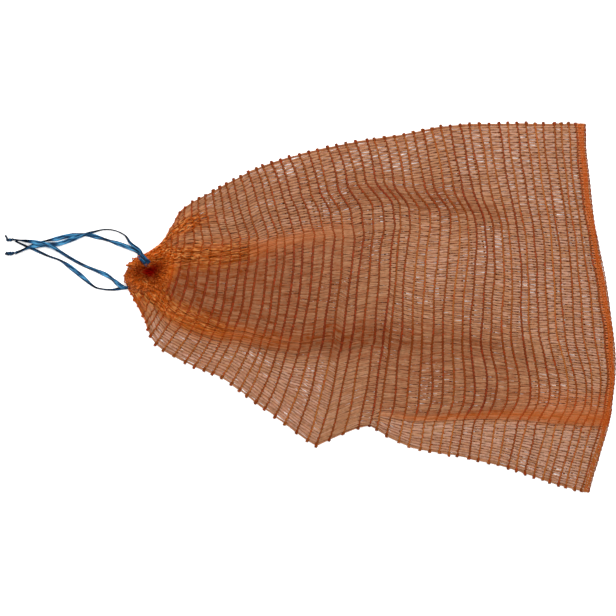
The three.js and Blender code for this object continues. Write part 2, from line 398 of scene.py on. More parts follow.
def back_crumple(along, across):
    return np.zeros_like(across)


# By the neck the back is painted orange: painted light against the shade under the neck.
def back_pleated(along, across):
    return ridge(along, 0, 0.1) * np.ones_like(across)


# The back's threads are painted pale all over: painted light against the shade the front casts on them.
def back_pale(along, across):
    return np.ones_like(across)


def back_skew(along, across):
    """The back has slipped towards the sewn end, so that its rows show between those of the front."""
    return BACK_SLIP * window(across, 0.15, 0.4, 0.95, 1) * window(along, 0.55, 0.8, 0.95, 0.99)


def back_relief(along, across):
    inside = np.clip(np.sin(np.pi * across), 0, 1)
    return inside * 0.3 * (1 + np.sin(19 * along + 8 * across))


def openness(along, across):
    """How narrow the cross threads are rolled: above 0 by the edges, below 0 in the panel and the neck."""
    windows = 0.12 * ridge(across, 0.065, 0.045) * window(along, 0.52, 0.6, 0.7, 0.8)
    rim = 0.3 * smooth(across, 0.95, 0.98) * smooth(along, 0.5, 0.6)
    panel = smooth(across, fold_share(along), fold_share(along) + 0.01) * smooth(along, 0.52, 0.6)
    return np.maximum(windows, rim) - 0.6 * panel * (1 - rim) - 0.7 * ridge(along, 0, 0.12)


def round_off(line):
    """A bent line with its corners rounded as far as the thread bends."""
    reach = int(PLEAT_ROUNDING * 2 / SAMPLE)
    kernel = ridge(np.arange(-reach, reach + 1) * SAMPLE, 0, PLEAT_ROUNDING)
    padded = np.pad(line, ((reach, reach), (0, 0)), mode="edge")
    return np.column_stack([np.convolve(padded[:, axis], kernel / kernel.sum(), "valid") for axis in (0, 1)])


def wave(places, lengths):
    """A ripple along a row, its wavelength drawn between two lengths, its phase at random."""
    return np.sin(2 * math.pi * places / draw.uniform(*lengths) + draw.uniform(0, 2 * math.pi))


def lay_row(along, side):
    """One row as a line in space, and at each of its points how it lies and the stitches up to it."""
    place = along + float(drift(along, DEPTH_TAKEN_AT))
    depth = float(np.hypot(*(lower_edge(place) - edge_point(UPPER_EDGE, place))))
    steps = side["steps"](place, depth)
    steps[:, 0] = np.clip(steps[:, 0], 0, depth)
    lengths = np.concatenate([[0], np.cumsum(np.hypot(*np.diff(steps, axis=0).T) + 1e-4)])
    places = np.linspace(0, lengths[-1], max(int(lengths[-1] / SAMPLE), 8))
    line = round_off(np.column_stack([np.interp(places, lengths, steps[:, axis]) for axis in (0, 1)]))
    across = np.clip(line[:, 0] / depth, 0, 1)
    along = along + drift(along, across)
    upper, lower = on_edge(upper_line, along), on_edge(lower_line, along)
    upper[:, 0] += NECK_DENT * ridge(along, 0.05, 0.03)
    plan = upper + across[:, None] * (lower - upper)
    plan[:, 0] += row_bow(along, across) + side["skew"](along, across)
    plan[:, 0] += WOBBLE * wave(places, WOBBLE_LENGTHS)
    ends = smooth(places, 0, END_REACH) * smooth(lengths[-1] - places, 0, END_REACH)
    crumple = ends * side["crumple"](along, across)
    waves = [sum(wave(places, CRUMPLE_LENGTHS) for _ in range(3)) for _ in range(3)]
    plan += CRUMPLE_ASIDE * crumple[:, None] * np.column_stack(waves[:2])
    height = line[:, 1] + ends * side["relief"](along, across) + CRUMPLE_UP * crumple * waves[2]
    height = np.maximum(height, LOWEST_ROW)
    density = side["density"](along, across)
    stitches = np.concatenate([[0], np.cumsum((density[1:] + density[:-1]) / 2 * np.diff(places))])
    return {
        "control": np.interp(lengths, places, stitches), "stitches": stitches, "density": density,
        "pleated": side["pleated"](along, across), "pale": side["pale"](along, across),
        "crumple": crumple, "open": openness(along, across), "points": np.column_stack([plan, height]),
    }


def at_stitches(row, places, kind="points"):
    """A row's points, or another of its kinds of number, at places counted in stitches."""
    values = row[kind]
    if values.ndim == 1:
        return np.interp(places, row["stitches"], values)
    return np.column_stack([np.interp(places, row["stitches"], values[:, axis]) for axis in range(3)])


def unit(vectors):
    return vectors / np.maximum(np.linalg.norm(vectors, axis=-1, keepdims=True), 1e-9)


def tubes(centres, side, rise, half_width, half_height, section, roundness):
    """Closed tubes with the same number of rings: points, normals and four-cornered faces."""
    count, rings, _ = centres.shape
    sides = len(section)
    points = (
        centres[:, :, None]
        + side[:, :, None] * (half_width[:, :, None] * section[:, 0])[..., None]
        + rise[:, :, None] * (half_height[:, :, None] * section[:, 1])[..., None]
    )
    normals = unit(
        side[:, :, None] * (roundness * section[:, 0])[:, None] + rise[:, :, None] * section[:, 1][:, None])
    ring, corner = np.meshgrid(np.arange(rings - 1), np.arange(sides), indexing="ij")
    after = (corner + 1) % sides
    wall = np.stack([
        ring * sides + corner, ring * sides + after,
        (ring + 1) * sides + after, (ring + 1) * sides + corner,
    ], axis=-1).reshape(-1, 4)
    last = (rings - 1) * sides
    first_cap = np.array([[0, k + 3, k + 2, k + 1] for k in range(0, sides - 2, 2)])
    last_cap = np.array([[0, k + 1, k + 2, k + 3] for k in range(0, sides - 2, 2)]) + last
    faces = np.concatenate([wall, first_cap, last_cap])
    starts = np.arange(count)[:, None, None] * rings * sides
    return points.reshape(-1, 3), normals.reshape(-1, 3), (faces[None] + starts).reshape(-1, 4)


def join_threads(name, bundles, shades, material):
    """One piece from many threads, each vertex carrying its tone with the painted shade of the layers, how
    pleated it lies, the painted shade of the hollow and its painted glint.
    """
    points, normals = [np.concatenate([bundle[kind] for bundle in bundles]) for kind in (0, 1)]
    points[:, 2] = np.maximum(points[:, 2], ON_TABLE)
    starts = np.cumsum([0] + [len(bundle[0]) for bundle in bundles])
    faces = np.concatenate([bundle[2] + start for bundle, start in zip(bundles, starts)])
    mesh = bpy.data.meshes.new(name)
    mesh.vertices.add(len(points))
    mesh.vertices.foreach_set("co", points.ravel() * MM)
    mesh.loops.add(faces.size)
    mesh.loops.foreach_set("vertex_index", faces.ravel().astype(np.int32))
    mesh.polygons.add(len(faces))
    mesh.polygons.foreach_set("loop_start", np.arange(len(faces), dtype=np.int32) * 4)
    mesh.update(calc_edges=True)
    mesh.validate()
    mesh.polygons.foreach_set("use_smooth", np.ones(len(mesh.polygons), dtype=bool))
    mesh.normals_split_custom_set_from_vertices(normals)
    for kind, values in zip(THREAD_SHARES, np.concatenate(shades).T):
        share = mesh.attributes.new(kind, "FLOAT", "POINT")
        share.data.foreach_set("value", np.ascontiguousarray(values, dtype=np.float32))
    mesh.materials.append(material)
    piece = bpy.data.objects.new(name, mesh)
    bpy.context.scene.collection.objects.link(piece)
    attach(piece, "root")
    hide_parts("sack_net")
    return piece


def linear(red, green, blue):
    """A colour given as 0 to 255 display values, as the shader takes it."""
    shares = [value / 255 for value in (red, green, blue)]
    return (*[s / 12.92 if s <= 0.04045 else ((s + 0.055) / 1.055) ** 2.4 for s in shares], 1)


def thread_material(name, colours, rough, through):
    """Drawn plastic thread, painted pale where it lies alone and the floor's light shows through, and
    painted deeper where many lie over each other and shade it.
    """
    material = bpy.data.materials.new(name)
    material.use_nodes = True
    nodes, links = material.node_tree.nodes, material.node_tree.links
    shader = nodes["Principled BSDF"]
    where = nodes.new("ShaderNodeTexCoord")
    noises = {}
    for kind, scale in (("mottle", 260), ("specks", 330), ("fibre", 2600)):
        noise = nodes.new("ShaderNodeTexNoise")
        noise.inputs["Scale"].default_value = scale
        links.new(where.outputs["Object"], noise.inputs["Vector"])
        noises[kind] = noise.outputs["Fac"]
    amounts = {}
    for kind in THREAD_SHARES:
        share = nodes.new("ShaderNodeAttribute")
        share.attribute_name = kind
        amounts[kind] = share.outputs["Fac"]
    flecked = nodes.new("ShaderNodeMapRange")
    flecked.inputs["From Min"].default_value = 0.5
    flecked.inputs["From Max"].default_value = 0.66
    flecked.inputs["To Max"].default_value = 0.55
    links.new(noises["specks"], flecked.inputs["Value"])
    amounts["flecked"] = flecked.outputs["Result"]
    tone = nodes.new("ShaderNodeMath")
    tone.operation = "MULTIPLY_ADD"
    links.new(noises["mottle"], tone.inputs[0])
    tone.inputs[1].default_value = 0.25
    links.new(amounts["tone_and_layer_shade"], tone.inputs[2])
    ramp = nodes.new("ShaderNodeValToRGB")
    ramp.color_ramp.elements[0].position = 0.05
    ramp.color_ramp.elements[0].color = linear(*colours["pale"])
    ramp.color_ramp.elements[1].position = 0.5
    ramp.color_ramp.elements[1].color = linear(*colours["tone_and_layer_shade"])
    ramp.color_ramp.elements.new(0.22).color = linear(*colours["flat"])
    links.new(tone.outputs["Value"], ramp.inputs["Fac"])
    colour = ramp.outputs["Color"]
    for kind in ("flecked", "pleated", "hollow_shade", "glint"):
        mix = nodes.new("ShaderNodeMix")
        mix.data_type = "RGBA"
        links.new(amounts[kind], mix.inputs["Factor"])
        links.new(colour, mix.inputs[6])
        mix.inputs[7].default_value = linear(*colours[kind])
        colour = mix.outputs[2]
    links.new(colour, shader.inputs["Base Color"])
    bump = nodes.new("ShaderNodeBump")
    bump.inputs["Strength"].default_value = 0.35
    bump.inputs["Distance"].default_value = 0.0002
    links.new(noises["fibre"], bump.inputs["Height"])
    links.new(bump.outputs["Normal"], shader.inputs["Normal"])
    # Less sheen where the hollow's shade is painted.
    sheen = nodes.new("ShaderNodeMapRange")
    sheen.inputs["To Min"].default_value = 0.12
    sheen.inputs["To Max"].default_value = 0
    links.new(amounts["hollow_shade"], sheen.inputs["Value"])
    links.new(sheen.outputs["Result"], shader.inputs["Specular IOR Level"])
    shader.inputs["Roughness"].default_value = rough
    lit_through = nodes.new("ShaderNodeBsdfTranslucent")
    links.new(colour, lit_through.inputs["Color"])
    both = nodes.new("ShaderNodeMixShader")
    both.inputs["Fac"].default_value = through
    links.new(shader.outputs["BSDF"], both.inputs[1])
    links.new(lit_through.outputs["BSDF"], both.inputs[2])
    links.new(both.outputs["Shader"], nodes["Material Output"].inputs["Surface"])
    return material


def row_tube(row, past_ends, width=ROW_WIDTH, thickness=ROW_THICKNESS):
    """The chain of stitches along a row: a flat tube that swells at each stitch and wanders a little."""
    stitches = max(int(round(row["stitches"][-1] / STITCH)), 2)
    rings = 2 * stitches + 1
    places = np.linspace(0, row["stitches"][-1], rings)
    centres = at_stitches(row, places)
    tangent = unit(np.gradient(centres, axis=0))
    centres[0] -= past_ends * tangent[1] * [1, 1, 0]
    centres[-1] += past_ends * tangent[-2] * [1, 1, 0]
    sideways = np.array([1.0, 0, 0])
    side = unit(sideways - (tangent @ sideways)[:, None] * tangent)
    rise = np.cross(tangent, side)
    density, pleated = at_stitches(row, places, "density"), at_stitches(row, places, "pleated")
    swell = np.where(np.arange(rings) % 2 == 0, *STITCH_SWELL)
    swell = swell * (1 + 0.4 * np.clip(density - 1, 0, 1) * (1 - pleated) - 0.45 * pleated)
    swell = swell * (1 + 0.5 * np.maximum(at_stitches(row, places, "open"), 0))
    if past_ends > LEAST_NUB:
        swell[[0, -1]], swell[[1, -2]] = NUB_SWELL
    wander = STITCH_WANDER * np.where(np.arange(rings) % 4 < 2, 1, -1)
    centres = centres + side * wander[:, None]
    half_width, half_height = width / 2 * swell, thickness / 2 * swell
    tube = tubes(centres[None], side[None], rise[None], half_width[None], half_height[None], ROW_SECTION, 1)
    shade = shade_of(tube[0], row, places, len(ROW_SECTION))
    if past_ends > LEAST_NUB:
        nub_corners = 2 * len(ROW_SECTION)
        shade[:nub_corners, 0] += NUB_SHADE
        shade[-nub_corners:, 0] += NUB_SHADE
    return tube, shade


draw = np.random.default_rng(20)
row_places = np.linspace(0, LAST_ROW_AT, ROW_COUNT + 1)
row_places[1:-1] += draw.uniform(-0.1, 0.1, ROW_COUNT - 1) / ROW_COUNT
row_places = np.concatenate([row_places, HEM_ROWS_AT])
FRONT = {
    "steps": front_steps, "relief": front_relief, "skew": front_skew, "density": front_density,
    "crumple": front_crumple, "pleated": front_pleated, "pale": front_pale,
}
BACK = {
    "steps": back_steps, "relief": back_relief, "skew": back_skew, "density": back_density,
    "crumple": back_crumple, "pleated": back_pleated, "pale": back_pale,
}
front_rows = [lay_row(along, FRONT) for along in row_places]
back_rows = [lay_row(along, BACK) for along in row_places]

# The ruffle: the free rim of the mouth beyond the drawstrings, gathered into a crumpled rosette
# that stands on the neck with a dark hollow in its middle.
RUFFLE_CENTRE = np.array([-209.0, 31.0])
RUFFLE_RADII = np.linspace(2.5, 19.5, 15)
RUFFLE_HEIGHTS = np.interp(RUFFLE_RADII, (2.5, 6, 10, 14, 19.5), (3, 9, 14.5, 15.5, 8))
RUFFLE_STEPS = 240
RUFFLE_FOLDS = (9, 19)
RUFFLE_ROW_WIDTH = 1.1
RUFFLE_PLEATED = 0.8
RUFFLE_CRUMPLE = 0.25
HOLLOW_CENTRE = np.array([-206.0, 34.0])
# Threads near the hollow are painted deep red: painted shade of the hollow.
HOLLOW_SHADE_NEAR = (3.5, 10, 17), (1, 0.55, 0)
PLEATED_NEAR = (17, 26), (0.95, 0)
FLAT_SHADE = 0.1
PALE_SHADE = -0.02
DEEPEST_SHADE = 0.375
DEEPEST_DENSITY = 2.2


def ruffle_row(radius, height):
    """One crumpled ring of the rosette, its folds unlike those of the ring beside it."""
    turn = np.linspace(0, 2 * math.pi, RUFFLE_STEPS + 1)
    swing = min(0.4 + 0.07 * radius, 1.4)
    folds = draw.integers(*RUFFLE_FOLDS)
    slip = draw.uniform(0, 2 * math.pi, 4)
    phase = folds * turn + 1.1 * np.sin(3 * turn + slip[0]) + 0.9 * np.sin(5 * turn + slip[1])
    out = radius * (1 + 0.06 * np.sin(2 * turn + 1)) + 0.9 * swing * np.sin(phase + slip[2])
    up = height + swing * np.cos(phase + slip[3]) + 1.2 * np.sin(2 * turn + 2)
    plan = RUFFLE_CENTRE + out[:, None] * np.column_stack([np.cos(turn), np.sin(turn)])
    points = np.column_stack([plan, np.maximum(up, LOWEST_ROW)])
    lengths = np.concatenate([[0], np.cumsum(np.linalg.norm(np.diff(points, axis=0), axis=1))])
    none = np.zeros_like(lengths)
    return {
        "control": lengths, "stitches": lengths, "density": none + 1, "pleated": none + RUFFLE_PLEATED,
        "pale": none, "crumple": none + RUFFLE_CRUMPLE, "open": none, "points": points,
    }


ruffle_rows = [ruffle_row(radius, height) for radius, height in zip(RUFFLE_RADII, RUFFLE_HEIGHTS)]


def shade_of(points, row, places, repeats):
    """The threads' tone with the painted shade of the layers over them, how pleated they lie and the painted
    shade of the hollow, with no painted glint yet.
    """
    density, pleated, pale = [
        np.repeat(at_stitches(row, places, kind), repeats) for kind in ("density", "pleated", "pale")]
    flat = FLAT_SHADE + (PALE_SHADE - FLAT_SHADE) * pale
    # Painted shade: the tone deepens as more layers lie over the threads.
    tone_and_layer_shade = flat + (DEEPEST_SHADE - flat) * np.interp(density, [1, DEEPEST_DENSITY], [0, 1])
    aside = points[:, :2] - HOLLOW_CENTRE
    angle = np.arctan2(aside[:, 1], aside[:, 0])
    from_hollow = np.hypot(*aside.T) * (1 - 0.22 * np.cos(2 * angle - 0.5) + 0.15 * np.cos(3 * angle + 0.6))
    pleated = np.maximum(pleated, np.interp(from_hollow, *PLEATED_NEAR))
    # Painted shade of the hollow, deepest at its middle.
    hollow_shade = np.interp(from_hollow, *HOLLOW_SHADE_NEAR)
    return np.column_stack([tone_and_layer_shade, pleated, hollow_shade, np.zeros_like(hollow_shade)])


row_finish = thread_material("row_thread", {
    "pale": (158, 90, 36), "flat": (120, 55, 6), "tone_and_layer_shade": (106, 34, 1), "flecked": (164, 50, 10),
    "pleated": (176, 74, 2), "hollow_shade": (104, 3, 1), "glint": (176, 74, 2),
}, rough=0.45, through=0.25)


def net_rows(laid, deeper):
    """All rows of one side of the net, each a little lighter or darker than the next."""
    made = [row_tube(row, NUB * draw.uniform(*NUB_SPREAD)) for row in laid[:ROW_COUNT + 1]]
    made += [row_tube(row, HEM_ROW_END, HEM_ROW_WIDTH) for row in laid[ROW_COUNT + 1:-1]]
    made += [row_tube(laid[-1], HEM_ROW_END, HEM_EDGE_WIDTH)]
    made[-1][1][:, 0] += HEM_EDGE_SHADE
    spread = np.interp(np.arange(len(made)), *ROW_SHADE_SPREAD)
    shades = [
        shade + [deeper + draw.uniform(-0.9, 1) * share, 0, 0, 0] for (_, shade), share in zip(made, spread)]
    return [tube for tube, _ in made], shades


front_tubes, front_shades = net_rows(front_rows, 0)
mouth_chains = join_threads(
    "front_rows_mouth", front_tubes[:MIDDLE_ROW], front_shades[:MIDDLE_ROW], row_finish)
end_chains = join_threads(
    "front_rows_end", front_tubes[MIDDLE_ROW:], front_shades[MIDDLE_ROW:], row_finish)
back_chains = join_threads("back_rows", *net_rows(back_rows, BACK_ROW_SHADE), row_finish)
ruffle_made = [row_tube(row, 0, RUFFLE_ROW_WIDTH, RUFFLE_ROW_WIDTH) for row in ruffle_rows]
ruffle_shades = [shade for _, shade in ruffle_made]
ruffle_chains = join_threads("ruffle_rows", [tube for tube, _ in ruffle_made], ruffle_shades, row_finish)

# The cross threads: fine flat plastic tapes laid from chain to chain through every stitch. They
# make the pale ladder between the dark rows, and where two layers cross, its shimmer.
CROSS_PITCH = 2.4
CROSS_WIDTH = 1.35
BACK_CROSS_WIDTH = 2.1
BACK_CROSS_SHIFT = 0.5
CROSS_WIDTH_SPREAD = (0.75, 1.25)
CROSS_THICKNESS = 0.3
CROSS_RINGS = 4
CROSS_SECTION = np.array([[1, -1], [1, 1], [-1, 1], [-1, -1.0]])
CROSS_ROUNDNESS = 0.5
CROSS_GAP = 0.2
CROSS_JITTER = 0.15
CROSS_SLANT = 0.3
CROSS_ROLL = 0.18
CROSS_SAG = 0.3
CROSS_LIFT = (-0.1, 0.35)
CROSS_SHADE_SPREAD = 0.08
EDGE_SHADE = 0.18
# Glints are painted highlights: a pale warm colour on short stretches of the crumpled tapes.
GLINT_SHARE = 0.3
GLINT_GAIN = 1.3


def slackness(points):
    """Wide patches, -1 to 1, in which the tapes lie a little flatter or more rolled."""
    x, y = points[:, 0], points[:, 1]
    return 0.6 * np.sin(0.06 * x + 1.3) * np.sin(0.075 * y + 0.4) + 0.4 * np.sin(0.11 * x - 0.05 * y + 2)


def cross_ends(left, right, shift):
    """Where the tapes between two rows start and end, the way down the rows there, and their stitches."""
    mean = (left["control"] + right["control"]) / 2
    count = max(int(round(mean[-1] / CROSS_PITCH)), 2)
    marks = np.arange(len(mean))
    places = np.linspace(CROSS_GAP, mean[-1] - CROSS_GAP, count)
    places = places + draw.uniform(-CROSS_JITTER, CROSS_JITTER, count)
    places[1:-2] += shift * CROSS_PITCH
    slant = CROSS_SLANT * np.where(np.arange(count) % 2 == 0, 1, -1)
    ends, downs = [], []
    for row, sign in ((left, -1), (right, 1)):
        share = np.interp(np.clip(places + sign * slant, 0, mean[-1]), mean, marks)
        counts = np.interp(share, marks, row["control"])
        ends.append(at_stitches(row, counts))
        downs.append(at_stitches(row, counts + 0.5) - at_stitches(row, counts - 0.5))
    return *ends, unit(sum(downs)), counts


def cross_shade(points, row, counts, crumple):
    """The shades of the tapes beside a row: each its own, deeper at the edges, with painted glints where
    crumpled.
    """
    own = draw.uniform(-CROSS_SHADE_SPREAD, CROSS_SHADE_SPREAD, len(counts)) * (1 + 0.8 * crumple)
    own[[0, -1]] = EDGE_SHADE
    # Painted highlights on a share of the crumpled tapes' stretches.
    glints = draw.uniform(0, 1, (len(counts), CROSS_RINGS)) < GLINT_SHARE
    glints = glints * np.minimum(GLINT_GAIN * crumple, 1)[:, None]
    corners = CROSS_RINGS * len(CROSS_SECTION)
    shade = shade_of(points, row, counts, corners)
    shade[:, 0] += np.repeat(own, corners)
    shade[:, 3] = np.repeat(glints.ravel(), len(CROSS_SECTION)) * (1 - shade[:, 2])
    return shade


def cross_threads(laid, width, shift):
    """The tapes between neighbouring rows, at even steps down the rows, pleats included."""
    bundles, shades = [], []
    shares = np.linspace(0, 1, CROSS_RINGS)
    arch, bend = 4 * shares * (1 - shares), np.sin(2 * np.pi * shares)
    for left, right in zip(laid, laid[1:]):
        start, end, down, counts = cross_ends(left, right, shift)
        count = len(counts)
        crumple = at_stitches(right, counts, "crumple")
        run = unit(end - start)
        side = unit(np.sum(down * run, axis=1, keepdims=True) * run - down)
        rise = np.cross(run, side)
        roll = draw.normal(0, CROSS_ROLL, count)[:, None]
        side, rise = side * np.cos(roll) + rise * np.sin(roll), rise * np.cos(roll) - side * np.sin(roll)
        sag = draw.uniform(-CROSS_SAG, CROSS_SAG, count) * (1 + 4 * crumple)
        lift = draw.uniform(*CROSS_LIFT, count) * (1 + 3 * crumple)
        kink = draw.uniform(-1, 1, count) * crumple
        aside = sag[:, None] * arch + kink[:, None] * bend
        centres = start[:, None] + (end - start)[:, None] * shares[None, :, None]
        centres = centres + side[:, None] * aside[..., None]
        centres = centres + rise[:, None] * (lift[:, None] * arch)[..., None]
        widths = width / 2 * draw.uniform(*CROSS_WIDTH_SPREAD, count) * (1 + 0.2 * slackness(start))
        widths = widths * (1 - 0.6 * crumple) * (1 - 0.45 * at_stitches(right, counts, "open"))
        half_width = widths[:, None] * (1 + 0.1 * np.sin(np.pi * shares))[None]
        half_height = np.full_like(half_width, CROSS_THICKNESS / 2)
        sides, rises = [np.broadcast_to(way[:, None], centres.shape) for way in (side, rise)]
        bundles.append(tubes(
            centres, sides, rises, half_width, half_height, CROSS_SECTION, CROSS_ROUNDNESS))
        shades.append(cross_shade(bundles[-1][0], right, counts, crumple))
    return bundles, shades


cross_finish = thread_material("cross_thread", {
    "pale": (218, 177, 151), "flat": (206, 154, 112), "tone_and_layer_shade": (162, 74, 12), "flecked": (172, 122, 84),
    "pleated": (230, 118, 20), "hollow_shade": (140, 6, 1), "glint": (250, 188, 108),
}, rough=0.4, through=0.6)
CROSS_PARTS = {
    "front_cross_threads_mouth": front_rows[:MIDDLE_ROW + 1],
    "front_cross_threads_end": front_rows[MIDDLE_ROW:],
    "back_cross_threads_mouth": back_rows[:MIDDLE_ROW + 1],
    "back_cross_threads_end": back_rows[MIDDLE_ROW:],
    "ruffle_cross_threads": ruffle_rows,
}
for name, laid in CROSS_PARTS.items():
    lie = (BACK_CROSS_WIDTH, BACK_CROSS_SHIFT) if name.startswith("back") else (CROSS_WIDTH, 0)
    join_threads(name, *cross_threads(laid, *lie), cross_finish)

# The drawstrings: two flat stretched plastic tapes through the mouth, both ends of each knotted
# together. They crumple and twist as they lie, so they show now their width and now their edge.
TAPE_WIDTH = 4.2
TAPE_OPENING = 1.2
TAPE_THICKNESS = 0.5
TAPE_STEP = 1.0
TAPE_CORNERS = 7
TAPE_LOWEST = 0.12
TAPE_RIPPLE = 0.18
GUTTER_LEAST = 0.25
GUTTER_ROLLED = 1.2
KNOT_STEP = 0.5
TOP_OUTER_ROUTE = np.array([
    [-217.6, 54.5, 4.6], [-225.6, 61.1, 4], [-230.8, 68.2, 3.2], [-240.2, 72.8, 2.6], [-250.5, 73.8, 2.4],
    [-261.2, 71.4, 2.4], [-269.3, 68.9, 2.4], [-282.5, 63.9, 2.4], [-293.8, 60.3, 2.8], [-305, 59.6, 3.6],
    [-319.1, 57.6, 3.7], [-328.5, 53.6, 2.8], [-334.2, 51.4, 2.3],
])
TOP_INNER_ROUTE = np.array([
    [-218.5, 52.6, 3], [-229.8, 57.9, 2], [-246.8, 63.7, 0.9], [-263.7, 68.4, 0.8], [-275, 69, 0.8],
    [-285, 67.8, 0.8], [-295.6, 65.2, 1.2], [-305.5, 63.2, 2], [-314, 61, 2.2], [-321, 57.8, 2.3],
    [-328.5, 54.3, 1.6], [-334.2, 52.1, 0.9],
])
LOW_INNER_ROUTE = np.array([
    [-232.2, 19.4, 3.2], [-243, 27.3, 1.6], [-250.5, 32, 0.9], [-269.3, 39.9, 0.8], [-282.5, 47, 0.9],
    [-291.9, 53, 2.4], [-300.8, 58.3, 4.7], [-314, 61.6, 5.1], [-323.8, 63, 4.2], [-335.1, 64.3, 2.3],
])
LOW_OUTER_ROUTE = np.array([
    [-232.6, 18.8, 1.2], [-243.9, 17.2, 0.9], [-256.1, 18.6, 0.8], [-262.7, 22, 0.8], [-274.4, 32, 0.8],
    [-290.2, 43.8, 0.8], [-303.4, 49.1, 0.8], [-317.9, 55.6, 0.8], [-328.5, 60.2, 0.8], [-334.6, 63.2, 0.8],
])
TOP_START = np.array([[-206.5, 42.2, 15.5], [-209.8, 45.8, 17.2], [-213.6, 49.9, 13.8]])
TOP_INNER_ASIDE = np.array([-2.2, -2.6, -1])
LOW_START = np.array([[-222.0, 20.5, 5.0]])
LOW_OUTER_ASIDE = np.array([0, -1, -3])


def smooth_line(points, step):
    """Evenly stepped points on the smooth line through a route's points, and its length."""
    fine = np.array([edge_point(points, share) for share in np.linspace(0, 1, 600)])
    lengths = np.concatenate([[0], np.cumsum(np.linalg.norm(np.diff(fine, axis=0), axis=1))])
    places = np.linspace(0, lengths[-1], int(lengths[-1] / step) + 1)
    return np.column_stack([np.interp(places, lengths, fine[:, axis]) for axis in range(3)]), lengths[-1]


def tape_material():
    """Stretched blue tape, pale and dark streaks along its length, painted darker where it is rolled up as
    painted shade.
    """
    material = bpy.data.materials.new("drawstring_tape")
    material.use_nodes = True
    nodes, links = material.node_tree.nodes, material.node_tree.links
    shader = nodes["Principled BSDF"]
    lay = nodes.new("ShaderNodeUVMap")
    lay.uv_map = "tape"
    stretch = nodes.new("ShaderNodeMapping")
    stretch.inputs["Scale"].default_value = (1.1, 7, 1)
    links.new(lay.outputs["UV"], stretch.inputs["Vector"])
    streak = nodes.new("ShaderNodeTexNoise")
    streak.inputs["Scale"].default_value = 1
    streak.inputs["Detail"].default_value = 4
    links.new(stretch.outputs["Vector"], streak.inputs["Vector"])
    rolled = nodes.new("ShaderNodeAttribute")
    rolled.attribute_name = "rolled"
    tone = nodes.new("ShaderNodeMath")
    tone.operation = "MULTIPLY_ADD"
    tone.inputs[1].default_value = -0.32
    links.new(rolled.outputs["Fac"], tone.inputs[0])
    links.new(streak.outputs["Fac"], tone.inputs[2])
    ramp = nodes.new("ShaderNodeValToRGB")
    ramp.color_ramp.elements[0].position = 0.31
    ramp.color_ramp.elements[0].color = linear(2, 8, 18)
    ramp.color_ramp.elements[1].position = 0.66
    ramp.color_ramp.elements[1].color = linear(70, 138, 178)
    ramp.color_ramp.elements.new(0.46).color = linear(14, 54, 88)
    links.new(tone.outputs["Value"], ramp.inputs["Fac"])
    links.new(ramp.outputs["Color"], shader.inputs["Base Color"])
    bump = nodes.new("ShaderNodeBump")
    bump.inputs["Strength"].default_value = 0.5
    bump.inputs["Distance"].default_value = 0.0004
    links.new(streak.outputs["Fac"], bump.inputs["Height"])
    links.new(bump.outputs["Normal"], shader.inputs["Normal"])
    shader.inputs["Roughness"].default_value = 0.4
    shader.inputs["Specular IOR Level"].default_value = 0.06
    return material


tape_finish = tape_material()


def tape_mesh(name, line, widths, side):
    """A crumpled tape along a line, as wide at each point as it lies open, rolled up where narrower."""
    tangent = unit(np.gradient(line, axis=0))
    side = unit(side - np.sum(side * tangent, axis=1, keepdims=True) * tangent)
    rise = np.cross(tangent, side)
    across = np.linspace(-1, 1, TAPE_CORNERS)
    mesh = bpy.data.meshes.new(name)
    build = bmesh.new()
    rings = []
    for number, (point, along_side, along_rise) in enumerate(zip(line, side, rise)):
        half = widths[number] / 2
        gutter = GUTTER_ROLLED * (1 - widths[number] / TAPE_WIDTH) + GUTTER_LEAST
        crumple = TAPE_RIPPLE * np.cos(5.2 * across + 0.23 * number) + gutter * (across**2 - 0.4)
        under = [(x * half, z - TAPE_THICKNESS / 2) for x, z in zip(across, crumple)]
        over = [(x * half, z + TAPE_THICKNESS / 2) for x, z in zip(across, crumple)]
        places = [point + along_side * x + along_rise * z for x, z in under + over[::-1]]
        rings.append([build.verts.new((p[0] * MM, p[1] * MM, max(p[2], TAPE_LOWEST) * MM)) for p in places])
    count = 2 * TAPE_CORNERS
    map_layer = build.loops.layers.uv.new("tape")
    for index, (ring, after) in enumerate(zip(rings, rings[1:])):
        for corner in range(count):
            beyond = (corner + 1) % count
            face = build.faces.new((ring[corner], after[corner], after[beyond], ring[beyond]))
            face.smooth = True
            spots = ((index, corner), (index + 1, corner), (index + 1, corner + 1), (index, corner + 1))
            for loop, (ring_number, corner_number) in zip(face.loops, spots):
                loop[map_layer].uv = (ring_number * TAPE_STEP / 10, corner_number / count)
    build.faces.new(rings[0])
    build.faces.new(rings[-1][::-1])
    bmesh.ops.recalc_face_normals(build, faces=build.faces)
    build.to_mesh(mesh)
    build.free()
    # Painted shade: the more a tape is rolled up, the darker its colour.
    rolled = mesh.attributes.new("rolled", "FLOAT", "POINT")
    rolled.data.foreach_set("value", np.repeat(1 - widths / TAPE_WIDTH, count).astype(np.float32))
    mesh.materials.append(tape_finish)
    piece = bpy.data.objects.new(name, mesh)
    bpy.context.scene.collection.objects.link(piece)
    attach(piece, "root")
    return piece


def knot_line(start, centre, turns, points, step, radii, tail):
    """The tape's way into a knot, its turns round itself, and the end that sticks out."""
    turn = np.linspace(0, 2 * math.pi * turns, points)
    wound = np.column_stack([
        centre[0] - step * turn, centre[1] + radii[0] * np.sin(turn), centre[2] + radii[1] * np.cos(turn)])
    return np.concatenate([start, wound, tail])


def make_knot(name, line, widths, node):
    """A knot: the tape wound round itself, its own width across the turns."""
    wound, _ = smooth_line(line, KNOT_STEP)
    wide = np.interp(np.linspace(0, 1, len(wound)), *widths)
    knot = tape_mesh(name, wound, wide, np.tile([1.0, 0.15, 0], (len(wound), 1)))
    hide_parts(node)
    return knot


